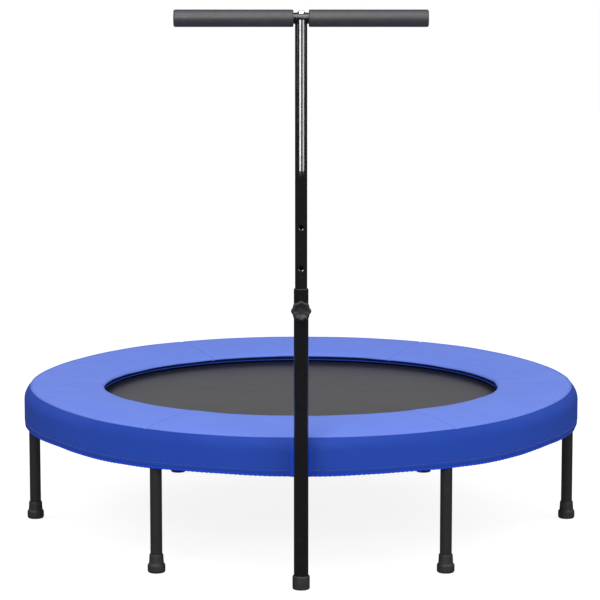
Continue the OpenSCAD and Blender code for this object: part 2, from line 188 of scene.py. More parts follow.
def join(name, parts):
    """Joins mesh pieces into one, in order, keeping their materials and UVs."""
    bpy.ops.object.select_all(action="DESELECT")
    for p in parts:
        p.select_set(True)
    bpy.context.view_layer.objects.active = parts[0]
    bpy.ops.object.join()
    parts[0].name = parts[0].data.name = name
    return parts[0]


def stitches(name, line, length=4.2 * MM, gap=1.6 * MM, radius=0.42 * MM, sink=0.1 * MM, normals=None):
    """A row of sewn stitches along an (n, 3) line: one short rounded bead of thread for each."""
    line = np.asarray(line, float)
    seg = np.linalg.norm(np.diff(line, axis=0), axis=1)
    dist = np.concatenate([[0], np.cumsum(seg)])
    starts = np.arange(gap, dist[-1] - length, length + gap)
    shape_t = np.array([0, 0.12, 0.5, 0.88, 1.0])
    shape_r = np.array([0.25, 0.8, 1.0, 0.8, 0.25])
    sides = 6
    angle = np.linspace(0, 2 * math.pi, sides, endpoint=False)
    if normals is None:
        normals = np.tile([0.0, 0.0, 1.0], (len(line), 1))
    verts, faces = [], []
    pattern = grid_faces(len(shape_t), sides, wrap_cols=True)
    caps = [list(range(sides))[::-1], [(len(shape_t) - 1) * sides + k for k in range(sides)]]

    def at(values, d):
        return np.array([np.interp(d, dist, values[:, k]) for k in range(3)])

    for s in starts:
        a, b = at(line, s), at(line, s + length)
        n = at(normals, s + length / 2)
        n /= np.linalg.norm(n)
        along = (b - a) / np.linalg.norm(b - a)
        across = np.cross(along, n)
        base = len(verts)
        for t, r in zip(shape_t, shape_r):
            c = a + (b - a) * t + n * (radius * r * 0.6 - sink)
            for w in angle:
                verts.append(c + radius * r * (across * math.cos(w) + n * math.sin(w) * 0.8))
        faces += [[base + k for k in f] for f in pattern.tolist() + caps]
    return finish_mesh(name, verts, faces)


# ---------------------------------------------------------------- material helpers
def add_node(tree, kind, **values):
    """A node with its properties and sockets set by name; underscores stand for spaces in socket names."""
    node = tree.nodes.new(kind)
    for key, value in values.items():
        socket = node.inputs.get(key.replace("_", " "))
        if socket is not None:
            socket.default_value = value
        else:
            setattr(node, key, value)
    return node


class Material:
    """A Principled material with short calls for its coordinates, mixes, ramps and bump."""

    def __init__(self, name, color, roughness, metallic=0.0, coords="Object", **sockets):
        self.data = bpy.data.materials.new(name)
        self.data.use_nodes = True
        self.tree = self.data.node_tree
        self.bsdf = self.tree.nodes["Principled BSDF"]
        self.base = (*color, 1)
        self.color = None
        self.bsdf.inputs["Base Color"].default_value = self.base
        self.bsdf.inputs["Roughness"].default_value = roughness
        self.bsdf.inputs["Metallic"].default_value = metallic
        for key, value in sockets.items():
            self.bsdf.inputs[key.replace("_", " ")].default_value = value
        self.where = add_node(self.tree, "ShaderNodeTexCoord").outputs[coords]
        self.height = None
        self.data.diffuse_color = self.base

    def link(self, a, b):
        self.tree.links.new(a, b)

    def scaled(self, scale, rotation=(0, 0, 0)):
        m = add_node(self.tree, "ShaderNodeMapping")
        m.inputs["Scale"].default_value = scale if hasattr(scale, "__len__") else (scale,) * 3
        m.inputs["Rotation"].default_value = rotation
        self.link(self.where, m.inputs["Vector"])
        return m.outputs["Vector"]

    def noise(self, scale, detail=3, roughness=0.5, distortion=0.0):
        n = add_node(self.tree, "ShaderNodeTexNoise", Scale=1.0, Detail=detail, Roughness=roughness)
        n.inputs["Distortion"].default_value = distortion
        self.link(self.scaled(scale), n.inputs["Vector"])
        return n.outputs["Fac"]

    def wave(self, period, direction="X", distortion=0.0, rotation=(0, 0, 0)):
        """Sine bands that many metres apart."""
        w = add_node(self.tree, "ShaderNodeTexWave", wave_type="BANDS", bands_direction=direction)
        w.inputs["Scale"].default_value = math.tau / 20
        w.inputs["Distortion"].default_value = distortion
        self.link(self.scaled(1 / period, rotation), w.inputs["Vector"])
        return w.outputs["Fac"]

    def math(self, operation, a, b):
        m = add_node(self.tree, "ShaderNodeMath", operation=operation)
        for socket, value in zip(m.inputs, (a, b)):
            if isinstance(value, (int, float)):
                socket.default_value = value
            else:
                self.link(value, socket)
        return m.outputs[0]

    def ramp(self, fac, low, high, a=0.0, b=1.0):
        """Maps fac from low..high to a..b, clamped."""
        r = add_node(self.tree, "ShaderNodeMapRange", clamp=True)
        for key, value in (("From Min", low), ("From Max", high), ("To Min", a), ("To Max", b)):
            r.inputs[key].default_value = value
        self.link(fac, r.inputs["Value"])
        return r.outputs["Result"]

    def tint(self, fac, color):
        """Mixes color over the base colour by fac."""
        m = add_node(self.tree, "ShaderNodeMix", data_type="RGBA")
        if self.color is None:
            m.inputs[6].default_value = self.base
        else:
            self.link(self.color, m.inputs[6])
        m.inputs[7].default_value = (*color, 1)
        self.link(fac, m.inputs[0])
        self.color = m.outputs[2]
        self.link(self.color, self.bsdf.inputs["Base Color"])

    def rough(self, fac, low, high):
        self.link(self.ramp(fac, 0, 1, low, high), self.bsdf.inputs["Roughness"])

    def raise_by(self, fac, depth):
        """Adds fac times depth metres to the bump height."""
        term = self.math("MULTIPLY", fac, depth)
        self.height = term if self.height is None else self.math("ADD", self.height, term)

    def done(self, strength=1.0):
        if self.height is not None:
            b = add_node(self.tree, "ShaderNodeBump", Strength=strength, Distance=1.0)
            self.link(self.height, b.inputs["Height"])
            self.link(b.outputs["Normal"], self.bsdf.inputs["Normal"])
        return self.data


# ---------------------------------------------------------------- materials
def coated_fabric(name, color, darker, roughness=0.62, specular=0.12):
    """Coated polyester cloth: a fine plain weave, faint creases and slight changes of shade."""
    m = Material(name, color, roughness, coords="UV", Specular_IOR_Level=specular)
    warp = m.wave(1.1 * MM, "X", 0.3)
    weft = m.wave(1.1 * MM, "Y", 0.3)
    weave = m.math("MULTIPLY", warp, weft)
    cloudy = m.noise(9, 4, 0.55)
    creases = m.noise((26, 60, 26), 5, 0.6, 0.8)
    m.tint(m.ramp(cloudy, 0.35, 0.75, 0, 0.55), darker)
    # Painted shade: the low spots of the weave are tinted darker.
    m.tint(m.ramp(weave, 0.0, 1.0, 0.22, 0), darker)
    m.rough(m.ramp(cloudy, 0.3, 0.7), roughness - 0.06, roughness + 0.08)
    m.raise_by(weave, 0.035 * MM)
    m.raise_by(creases, 0.3 * MM)
    return m.done(0.8)


def mat_weave():
    """Woven polypropylene: flat tapes crossing every 1.6 mm, with a painted sheen on the raised tapes."""
    m = Material("mat_weave", (0.0070, 0.0064, 0.0092), 0.34, Specular_IOR_Level=0.12)
    warp = m.wave(1.6 * MM, "X")
    weft = m.wave(1.6 * MM, "Y")
    crossing = m.math("MULTIPLY", warp, weft)
    ribs = m.math("MAXIMUM", warp, weft)
    cloudy = m.noise(5, 5, 0.6)
    tapes = m.noise((2, 220, 2), 2, 0.5)
    # Painted sheen: the raised tapes are tinted lighter.
    m.tint(m.ramp(ribs, 0.2, 1.0, 0.0, 0.5), (0.014, 0.0125, 0.017))
    m.tint(m.ramp(cloudy, 0.4, 0.8, 0, 0.25), (0.020, 0.017, 0.022))
    m.tint(m.ramp(tapes, 0.45, 0.7, 0, 0.25), (0.005, 0.005, 0.006))
    m.rough(crossing, 0.38, 0.30)
    m.raise_by(ribs, 0.05 * MM)
    m.raise_by(cloudy, 0.5 * MM)
    return m.done(0.5)


def webbing():
    """Narrow woven tape, ribbed across."""
    m = Material("webbing_weave", (0.018, 0.018, 0.021), 0.72, Specular_IOR_Level=0.35, Sheen_Weight=0.15)
    ribs = m.wave(1.5 * MM, "DIAGONAL", 0.4)
    fuzz = m.noise(700, 3)
    # Painted highlight: the raised ribs are tinted lighter.
    m.tint(m.ramp(ribs, 0.3, 1, 0, 0.6), (0.05, 0.05, 0.055))
    m.raise_by(ribs, 0.2 * MM)
    m.raise_by(fuzz, 0.1 * MM)
    return m.done(0.8)


def thread(name, color):
    """Sewing thread with a fine twist."""
    m = Material(name, color, 0.6, Specular_IOR_Level=0.4, Sheen_Weight=0.2)
    twist = m.wave(0.7 * MM, "DIAGONAL", 0.5)
    m.tint(m.ramp(twist, 0.2, 0.9, 0, 0.5), tuple(0.45 * c for c in color))
    m.raise_by(twist, 0.08 * MM)
    return m.done()


def black_paint(name, color, roughness):
    """Gloss black powder coat: slight orange peel, dust and a few handling scuffs."""
    m = Material(name, color, roughness, Specular_IOR_Level=0.75)
    peel = m.noise(420, 2, 0.4)
    dust = m.noise(60, 6, 0.7)
    scuffs = m.noise((700, 700, 14), 4, 0.65)
    m.tint(m.ramp(dust, 0.55, 0.85, 0, 0.35), (0.014, 0.014, 0.015))
    m.tint(m.ramp(scuffs, 0.64, 0.74, 0, 0.5), (0.016, 0.016, 0.018))
    m.rough(m.ramp(dust, 0.3, 0.8), roughness - 0.04, roughness + 0.08)
    m.raise_by(peel, 0.003 * MM)
    m.raise_by(scuffs, 0.001 * MM)
    return m.done(0.7)


def metal(name, color, roughness, brushed=0.0):
    """Plated or bare steel with faint brushing and small stains."""
    m = Material(name, color, roughness, metallic=1.0)
    stain = m.noise(180, 5, 0.65)
    lines = m.noise((1400, 1400, 90), 3, 0.6)
    m.tint(m.ramp(stain, 0.5, 0.85, 0, 0.45), tuple(0.55 * c for c in color))
    m.rough(m.ramp(stain, 0.3, 0.8), roughness - 0.06, roughness + 0.12)
    m.raise_by(lines, (0.01 + brushed) * MM)
    return m.done(0.6)


def moulded(name, color, roughness, grain=0.05, scale=900, specular=0.4):
    """Moulded rubber or plastic with a fine grain, a little wear and dust."""
    m = Material(name, color, roughness, Specular_IOR_Level=specular)
    fine = m.noise(scale, 3, 0.6)
    worn = m.noise(75, 5, 0.65)
    m.tint(m.ramp(worn, 0.5, 0.85, 0, 0.5), tuple(min(1, c * 1.9 + 0.006) for c in color))
    m.rough(m.ramp(worn, 0.3, 0.8), roughness - 0.05, roughness + 0.1)
    m.raise_by(fine, grain * MM)
    return m.done(0.8)


def foam(name, color):
    """Closed-cell foam: small open pores in a soft skin."""
    m = Material(name, color, 0.5, Specular_IOR_Level=0.6, Sheen_Weight=0.05, Sheen_Roughness=0.4)
    cells = add_node(m.tree, "ShaderNodeTexVoronoi", Scale=1.0)
    m.link(m.scaled(1300), cells.inputs["Vector"])
    cell = cells.outputs["Distance"]
    lumps = m.noise(90, 4, 0.6)
    # Painted shade: the pores are tinted darker inside.
    m.tint(m.ramp(cell, 0.0, 0.35, 0.5, 0), tuple(0.4 * c for c in color))
    m.tint(m.ramp(lumps, 0.5, 0.8, 0, 0.35), tuple(1.5 * c for c in color))
    m.rough(m.ramp(lumps, 0.3, 0.8), 0.44, 0.58)
    m.raise_by(cell, 0.05 * MM)
    m.raise_by(lumps, 0.1 * MM)
    return m.done(0.6)


# The pad's top cloth is a lighter, whiter blue than the skirt's. Part of that is painted sheen: the grazing
# gloss of the coated cloth put into its colour.
PAD_BLUE_WITH_PAINTED_SHEEN = (0.076, 0.124, 0.405)
SKIRT_BLUE = (0.0064, 0.031, 0.215)
MATS = {
    "pad": coated_fabric("pad_fabric_with_painted_sheen", PAD_BLUE_WITH_PAINTED_SHEEN, (0.066, 0.110, 0.375)),
    "skirt": coated_fabric("skirt_fabric_blue", SKIRT_BLUE, (0.0050, 0.026, 0.195)),
    "binding": coated_fabric("binding_tape", (0.004, 0.034, 0.36), (0.003, 0.026, 0.30)),
    # The lining is a dark navy cloth, darkened further as painted shade for the pad's walls and underside.
    "lining": coated_fabric("lining_fabric_with_painted_shade", (0.004, 0.013, 0.095), (0.003, 0.010, 0.08)),
    "mat": mat_weave(),
    "webbing": webbing(),
    "pad_thread": thread("pad_thread", (0.09, 0.16, 0.55)),
    "skirt_thread": thread("skirt_thread", (0.02, 0.05, 0.30)),
    "mat_thread": thread("mat_thread", (0.08, 0.08, 0.085)),
    "paint": black_paint("black_powder_coat", (0.0036, 0.0036, 0.0048), 0.16),
    "leg_paint": black_paint("black_leg_paint", (0.011, 0.011, 0.0125), 0.3),
    "zinc": metal("zinc_plate", (0.62, 0.63, 0.65), 0.3),
    "chrome": metal("bright_plate", (0.85, 0.86, 0.88), 0.14),
    "steel": metal("drawn_steel", (0.42, 0.42, 0.43), 0.38, 0.03),
    "rubber": moulded("foot_rubber", (0.012, 0.012, 0.0135), 0.55, 0.06, 700),
    "plastic": moulded("black_plastic", (0.011, 0.011, 0.012), 0.42, 0.03, 1100),
    "knob": moulded("knob_plastic", (0.008, 0.008, 0.0105), 0.46, 0.03, 1000),
    "grip": foam("grip_foam_skin", (0.016, 0.016, 0.021)),
}


def finish_piece(piece, body, material=None, replaced=()):
    """Gives a piece its material, its CAD body and the nodes it stands for."""
    if material is not None:
        piece.data.materials.clear()
        piece.data.materials.append(MATS[material])
    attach(piece, body)
    if replaced:
        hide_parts(*replaced)
    return piece


# ---------------------------------------------------------------- the pad
# The padded ring isn't flat: in front its outer seam is pulled down and its inner edge rides up,
# and at the back it is the other way round. Each edge is a mean height and its slow waves round the bed.
INNER_WAVES = (302.9, 7.7, 1.1, -1.7)
OUTER_WAVES = (306.8, -8.5, -0.7, -1.1)
OUTER_PULL = (-4.7, 3.0, 3.0, 0.0, -2.0, 0.0, -3.0)    # the outer seam's radius against the CAD's
CROWN = 4.5 * MM


def slow_waves(deg, sizes):
    """The sum of cosines of 0, 1, 2 and so on waves round the bed, with sizes in millimetres."""
    return MM * sum(size * np.cos(k * np.radians(deg)) for k, size in enumerate(sizes))


def inner_top(deg):
    return slow_waves(deg, INNER_WAVES)


def outer_top(deg):
    return slow_waves(deg, OUTER_WAVES)


def ripple(deg, seed, waves):
    """A smooth periodic wobble from -1 to 1 round the bed, made of a few whole-number waves."""
    rng = np.random.default_rng(seed)
    total = 0
    for w in waves:
        total = total + rng.uniform(0.5, 1) * np.sin(np.radians(deg) * w + rng.uniform(0, math.tau))
    return total / len(waves)


def seam_dip(deg, width_deg):
    """1 at the seams between panels and 0 away from them."""
    off = np.min([abs((np.asarray(deg) - seam + 180) % 360 - 180) for seam in SEAMS], axis=0)
    return np.exp(-((off / width_deg) ** 2))


def pad_height(deg, t):
    """Height of the pad's top at an angle, and from t = 0 at the inner edge to 1 at the outer seam."""
    base = inner_top(deg) + (outer_top(deg) - inner_top(deg)) * t
    crown = CROWN * np.sin(math.pi * np.clip(t, 0, 1)) ** 0.8
    wobble = 0.8 * MM * ripple(deg, 3, (11, 17, 29)) * (1 - t) ** 2
    wobble = wobble + 0.5 * MM * ripple(deg, 5, (7, 13, 23)) * t
    return base + crown * (1 - 0.25 * seam_dip(deg, 1.2)) + wobble - 1.4 * MM * seam_dip(deg, 0.2)


def pad_inner_radius(deg):
    return PAD_IN + 1.6 * MM * ripple(deg, 11, (9, 16, 27, 41)) - 0.6 * MM * seam_dip(deg, 0.5)


def pad_outer_radius(deg):
    return PAD_OUT + slow_waves(deg, OUTER_PULL) + 0.8 * MM * ripple(deg, 12, (8, 15, 31))


PANEL_COLS = 91
EDGE_ROUND = 4.5 * MM    # radius of the pad's rounded inner edge
UNDERCUT = 7 * MM        # how far the inner wall leans back under that edge


def panel_angles(start, end, cols=PANEL_COLS, gap=0.03):
    """Angles across a panel, closer together near its two seams."""
    t = np.linspace(-1, 1, cols)
    t = 0.55 * t + 0.45 * np.sin(t * math.pi / 2)
    return (start + end) / 2 + t * ((end - start) / 2 - gap)


def pad_panel(i):
    """One padded panel: crowned top, rounded inner edge, undercut wall, flat underside and closed ends."""
    deg = panel_angles(SEAMS[i - 1], SEAMS[i])
    r_in, r_out = pad_inner_radius(deg), pad_outer_radius(deg)
    bottom = PAD_BOTTOM + 0.3 * MM
    rows, kinds = [], []

    def row(r, z, kind):
        rows.append(polar(r, deg, z))
        kinds.append(kind)

    for t in np.linspace(1, 0, 12):
        set_back = (UNDERCUT + 2 * MM) * (1 - t) - 1.5 * MM * t
        row(r_in + (r_out - r_in) * t + set_back, bottom + 0 * deg, "under")
    top_in = pad_height(deg, 0.0)
    for s in (0.0, 0.15, 0.35, 0.6, 0.85):
        row(r_in + UNDERCUT * (1 - s) ** 0.7, bottom + (top_in - EDGE_ROUND - bottom) * s, "wall")
    for a in np.radians([0, 22, 45, 67]):
        row(r_in + EDGE_ROUND * (1 - math.cos(a)), top_in - EDGE_ROUND * (1 - math.sin(a)), "top")
    span = r_out - r_in
    for t in np.linspace(EDGE_ROUND / PAD_WIDTH, 1, 26):
        row(r_in + span * t, pad_height(deg, t), "top")
    top_out = pad_height(deg, 1.0)
    for s in (0.25, 0.6, 0.9):
        row(r_out - 0.5 * MM * s, top_out + (bottom - top_out) * s, "wall")
    points = np.array(rows)
    run = run_down(points)
    uvs = np.stack(np.meshgrid(run, np.radians(deg) * PAD_MIDDLE, indexing="ij")[::-1], -1)
    n_rows, cols = points.shape[:2]
    faces = grid_faces(n_rows, cols, wrap_rows=True).tolist()
    faces.append([k * cols for k in range(n_rows)])
    faces.append([k * cols + cols - 1 for k in range(n_rows)][::-1])
    piece = finish_mesh(f"pad_panel_{i}", points.reshape(-1, 3), faces, uvs.reshape(-1, 2))
    for name in ("pad", "lining"):
        piece.data.materials.append(MATS[name])
    # The walls and underside take the lining, whose dark colour is partly painted shade.
    index = {"top": 0, "wall": 1, "under": 1}
    per_face = np.repeat([index[k] for k in kinds], cols - 1).tolist() + [0, 0]
    piece.data.polygons.foreach_set("material_index", per_face)
    replaced = [f"pad_cover_{i}"] + (["pad_foam"] if i == 1 else [])
    finish_piece(piece, "frame", replaced=replaced)
    return piece


def pad_piping():
    """The thin welts at the pad's outer seam and along the foot of its inner wall."""
    deg = np.linspace(0, 360, 720, endpoint=False)
    outer = tube_along("pad_outer_welt", polar(pad_outer_radius(deg) + 0.6 * MM, deg,
                                               pad_height(deg, 1.0) - 0.5 * MM), 1.3 * MM, closed=True)
    finish_piece(outer, "frame", "pad")
    inner = tube_along("pad_inner_welt", polar(pad_inner_radius(deg) + 4.5 * MM, deg,
                                               PAD_BOTTOM + 1.9 * MM + 0 * deg), 1.3 * MM, closed=True)
    finish_piece(inner, "frame", "skirt")


def pad_lining():
    """The thin cloth under the pad, between its two edges."""
    deg = np.linspace(0, 360, 360, endpoint=False)
    rows = []
    for t in np.linspace(0.02, 0.98, 12):
        sag = 0.12 * MM * ripple(deg, 21, (19, 33, 47)) * math.sin(math.pi * t)
        rows.append(polar(PAD_IN + PAD_WIDTH * t, deg, PAD_BOTTOM + 0.1 * MM + sag))
    points = np.array(rows)
    run = np.linspace(0, PAD_WIDTH, len(rows))
    uvs = np.stack(np.meshgrid(run, np.radians(deg) * PAD_MIDDLE, indexing="ij"), -1)
    piece = grid_piece("pad_lining_cloth", points, wrap_cols=True, uvs=uvs)
    finish_piece(piece, "frame", "lining", ["pad_lining"])


# ---------------------------------------------------------------- the skirt
SLOT_HALF_DEG = 4 / 3
SLOT_TOP = arm_high.z + 3 * MM
HEM_DEPTH = 14 * MM      # height of the turned-up hem inside
SKIRT_DROP = 78 * MM     # about the skirt's height
GATHERS = 380            # small gathers round the hem


def skirt_radius(deg, s):
    """Radius of the skirt's outside, from s = 0 at the pad's seam to 1 at the hem."""
    start = pad_outer_radius(deg) + 0.8 * MM
    bulge = SKIRT_R - 1.4 * MM
    rise = 1 - (1 - np.clip(s / 0.35, 0, 1)) ** 2.2
    tuck = 3.4 * MM * np.clip((s - 0.78) / 0.22, 0, 1) ** 1.8
    folds = (0.4 + 0.6 * s) * 0.7 * MM * ripple(deg, 31, (21, 37, 53))
    gathers = 0.5 * MM * np.sin(np.radians(deg) * GATHERS + 3 * ripple(deg, 35, (11, 23)))
    gathers = gathers * np.clip(s * 4 - 3, 0, 1)
    return start + (bulge - start) * rise - tuck + folds * np.clip(s * 3, 0, 1) + gathers


def skirt_height(deg, s):
    """Height of the skirt at the same share s. Its hem hangs lowest in the front third."""
    top = pad_height(deg, 1.0) - 0.6 * MM
    from_front = abs((np.asarray(deg) + 180) % 360 - 180)
    hangs = 5.0 * np.exp(-((from_front / 50) ** 8)) + np.cos(9 * np.radians(deg)) - 1.5
    hem = HEM_Z + (1.6 - hangs) * MM + 0.6 * MM * ripple(deg, 33, (9, 19, 31))
    hem = hem + 0.35 * MM * np.sin(np.radians(deg) * GATHERS)
    return top + (hem - top) * s


def share_at(deg, z):
    """How far down the skirt a height lies, from 0 at the seam to 1 at the hem."""
    top = skirt_height(deg, 0.0)
    return np.clip((top - z) / (top - skirt_height(deg, 1.0)), 0, 1)


def skirt_panel(i):
    """A skirt panel: a bulging cloth wall with a turned-up hem. The front one is slit for the post's arm."""
    cols, steps = 361, 34
    margin = PANEL_DEG / (cols - 1)
    deg = np.linspace(PANEL_DEG * (i - 1.5) - margin, PANEL_DEG * (i - 0.5) + margin, cols + 2)
    levels = np.linspace(0, 1, steps) ** 1.3
    rows = [polar(skirt_radius(deg, s), deg, skirt_height(deg, s)) for s in levels]
    hem_z = skirt_height(deg, 1.0)
    hem_r = skirt_radius(deg, 1.0)
    for k, up in enumerate(np.linspace(0, HEM_DEPTH, 7)[1:]):
        inward = 1.7 * MM if k else 1.2 * MM
        s_here = 1 - up / (skirt_height(deg, 0.0) - hem_z)
        r_here = skirt_radius(deg, s_here) if k else hem_r
        rows.append(polar(r_here - inward, deg, hem_z + up))
    wide = np.array(rows)
    down, along = np.gradient(wide, axis=0), np.gradient(wide, axis=1)
    normals = np.cross(along, down)
    normals /= np.linalg.norm(normals, axis=-1)[..., None]
    points, normals, deg = wide[:, 1:-1], -normals[:, 1:-1], deg[1:-1]
    run = run_down(points)
    uvs = np.stack(np.meshgrid(run, np.radians(deg) * SKIRT_R, indexing="ij")[::-1], -1)
    faces = grid_faces(*points.shape[:2])[:, ::-1]
    if i == 1:
        centre = points.reshape(-1, 3)[faces].mean(1)
        in_slit = (abs(centre[:, 0]) < SKIRT_R * math.sin(math.radians(SLOT_HALF_DEG)))
        in_slit &= centre[:, 2] < SLOT_TOP
        faces = faces[~in_slit]
    piece = finish_mesh(f"skirt_panel_{i}", points.reshape(-1, 3), faces, uvs.reshape(-1, 2))
    piece.data.normals_split_custom_set_from_vertices(normals.reshape(-1, 3))
    finish_piece(piece, "frame", "skirt", [f"skirt_{i}"])
    return piece


def seam_lines():
    """Sewing: beside each radial seam, along the pad's outer edge and round the hem."""
    parts = []
    t = np.linspace(0.03, 0.985, 60)
    for i, middle in enumerate(SEAMS[1:]):
        for side in (-1, 1):
            deg = middle + side * np.degrees(4 * MM / (PAD_IN + PAD_WIDTH * t))
            line = polar(pad_inner_radius(deg) + (pad_outer_radius(deg) - pad_inner_radius(deg)) * t, deg,
                         pad_height(deg, t))
            parts.append(stitches(f"seam_{i}_{side}", line, 3.4 * MM, 1.3 * MM, 0.35 * MM))
    piece = join("pad_seam_stitches", parts)
    finish_piece(piece, "frame", "pad_thread")
    deg = np.linspace(0, 360, 1440)
    edge = stitches("pad_edge_stitches",
                    polar(pad_outer_radius(deg) - 5 * MM, deg, pad_height(deg, 0.97)), radius=0.35 * MM)
    finish_piece(edge, "frame", "pad_thread")
    s_hem = 1 - HEM_DEPTH / (skirt_height(0.0, 0.0) - HEM_Z) * 0.85
    deg = np.linspace(SLOT_HALF_DEG, 360 - SLOT_HALF_DEG, 1440)
    outward = polar(1.0, deg, 0.0) - np.array([0, AXIS_Y, 0])
    hem = stitches("skirt_hem_stitches", polar(skirt_radius(deg, s_hem), deg, skirt_height(deg, s_hem)),
                   radius=0.4 * MM, normals=outward)
    finish_piece(hem, "frame", "skirt_thread")


TAPE_WIDTH = 6 * MM
TAPE_LIFT = 0.9 * MM     # how far the tape stands off the cloth
HEM_TAPE_SECTION = ((-1.9, 5.0), (-2.0, 1.0), (-1.2, -0.6), (0.1, -0.7), (0.85, 0.4), (0.9, 2.4),
                    (0.75, 5.0))    # millimetres out from the cloth and up from the hem


def skirt_binding():
    """Bright tape round the skirt's hem and round the slit at the post, folded over the cloth's edge."""
    deg = np.linspace(SLOT_HALF_DEG + 0.1, 360 - SLOT_HALF_DEG - 0.1, 2880)
    rows = []
    for out, up in HEM_TAPE_SECTION:
        s = 1 - max(up, 0) * MM / SKIRT_DROP
        rows.append(polar(skirt_radius(deg, s) + out * MM, deg, skirt_height(deg, 1.0) + up * MM))
    hem = grid_piece("skirt_hem_tape", np.array(rows))
    finish_piece(hem, "frame", "binding")

    half, tape = SLOT_HALF_DEG, 0.62    # degrees
    steps = np.linspace(0, 1, 40)
    low, top = HEM_Z - 3.5 * MM, SLOT_TOP + 1.0 * MM
    strips = []
    for side in (-1, 1):
        across = side * (half + np.linspace(-0.02, tape, 9))
        levels = low + (top + TAPE_WIDTH - low) * steps
        rows = []
        for z in levels:
            lift = TAPE_LIFT * np.sin(np.linspace(0.25, 0.85, 9) * math.pi)
            rows.append(polar(skirt_radius(across, share_at(across, z)) + lift, across, z + 0 * across))
        strips.append(grid_piece(f"slit_side_{side}", np.array(rows)))
    across = np.linspace(-half - 0.02, half + 0.02, 21)
    rows = []
    for k, z in enumerate(np.linspace(top - 0.6 * MM, top + TAPE_WIDTH, 9)):
        lift = TAPE_LIFT * math.sin((0.25 + 0.075 * k) * math.pi)
        rows.append(polar(skirt_radius(across, share_at(across, z)) + lift, across, z + 0 * across))
    strips.append(grid_piece("slit_top", np.array(rows)))
    tape_piece = join("skirt_slit_tape", strips)
    thick = tape_piece.modifiers.new("tape", "SOLIDIFY")
    thick.thickness = 0.8 * MM
    thick.offset = -1
    finish_piece(tape_piece, "frame", "binding")


def pad_straps():
    """Elastic slings round the ring's underside that hold the pad."""
    parts = []
    sling_r = RING_TUBE_R + 0.6 * MM + 0.5 * MM
    half_width = 9 * MM
    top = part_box("pad_straps")[1].z
    for k in range(6):
        for side in (-10, 10):
            middle = PANEL_DEG * (k + 0.5) + side
            across = np.linspace(-half_width, half_width, 9)
            outline = [(-sling_r, z) for z in np.linspace(top, RING_Z, 6)[:-1]]
            outline += [(-sling_r * math.cos(a), RING_Z + sling_r * math.sin(a))
                        for a in np.radians(np.linspace(0, -180, 25))]
            outline += [(sling_r, z) for z in np.linspace(RING_Z, top, 6)[1:]]
            rows = []
            for dr, z in outline:
                deg = middle + np.degrees(across / RING_R)
                rows.append(polar(RING_R + dr, deg, z + 0 * deg))
            strap = grid_piece(f"strap_{k}_{side}", np.array(rows))
            parts.append(strap)
    piece = join("pad_elastic_straps", parts)
    thick = piece.modifiers.new("band", "SOLIDIFY")
    thick.thickness = 0.9 * MM
    thick.offset = 0
    finish_piece(piece, "frame", "webbing", ["pad_straps"])


# ---------------------------------------------------------------- the bed
def jumping_mat():
    """The mat: a tight woven disc with a doubled, sewn edge."""
    deg = np.linspace(0, 360, 240, endpoint=False)
    rows = []
    for r in np.concatenate([np.linspace(2 * MM, MAT_R - 1 * MM, 48), [MAT_R]]):
        lift = 0.25 * MM * ripple(deg, 41, (5, 8, 13)) * math.sin(math.pi * r / MAT_R)
        rows.append(polar(r, deg, MAT_TOP - 0.4 * MM + lift))
    rows.append(polar(MAT_R, deg, MAT_TOP - 1.8 * MM + 0 * deg))
    for r in np.linspace(MAT_R - 1 * MM, 2 * MM, 24):
        rows.append(polar(r, deg, MAT_TOP - 1.9 * MM + 0 * deg))
    piece = grid_piece("jumping_mat", np.array(rows)[::-1], wrap_cols=True, caps=True)
    finish_piece(piece, "bed", "mat", ["mat"])


def mat_edge():
    """The hem tape, its stitching and the tape loops that hold the V-rings, all under the mat."""
    low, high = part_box("mat_hem")
    deg = np.linspace(0, 360, 240, endpoint=False)
    width = 36 * MM
    outline = rounded_outline([(MAT_R - width, high.z - 0.05 * MM), (MAT_R - width, low.z),
                               (MAT_R - 0.4 * MM, low.z), (MAT_R - 0.4 * MM, high.z - 0.05 * MM)], 0.5 * MM)
    points = np.array([polar(r, deg, z + 0 * deg) for r, z in outline])
    hem = grid_piece("mat_hem_tape", points, wrap_rows=True, wrap_cols=True)
    finish_piece(hem, "bed", "webbing", ["mat_hem"])
    circle = np.linspace(0, 360, 1200)
    rows = []
    for inset in (4, 16, 32):
        line = polar(MAT_R - inset * MM, circle, low.z)
        down = np.tile([0.0, 0.0, -1.0], (len(line), 1))
        rows.append(stitches(f"hem_row_{inset}", line, 3.6 * MM, 1.4 * MM, 0.4 * MM, normals=down))
    sewing = join("mat_hem_stitches", rows)
    finish_piece(sewing, "bed", "mat_thread")

    tab_low, tab_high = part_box("ring_tabs")
    wire_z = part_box("v_rings")[0].z + 1.3 * MM
    loops = []
    for k in range(36):
        middle = 10 * k + 5
        across = np.linspace(-9, 9, 7) * MM
        sewn_r, free_r = MAT_R - 14 * MM, MAT_R + 2 * MM
        outline = [(sewn_r, tab_high.z - 0.1 * MM), (free_r, tab_high.z - 0.2 * MM)]
        outline += [(V_BASE_R + 2.0 * MM * math.sin(a), wire_z + 1.85 * MM * math.cos(a))
                    for a in np.linspace(-0.3, math.pi + 0.3, 12)]
        outline += [(free_r, tab_low.z + 0.5 * MM), (sewn_r, tab_high.z - 1.3 * MM)]
        rows = [polar(r, middle + np.degrees(across / r), z + 0 * across) for r, z in outline]
        loops.append(grid_piece(f"loop_{k}", np.array(rows)))
    tabs = join("v_ring_loops", loops)
    thick = tabs.modifiers.new("tape", "SOLIDIFY")
    thick.thickness = 0.8 * MM
    thick.offset = 0
    finish_piece(tabs, "bed", "webbing", ["ring_tabs"])


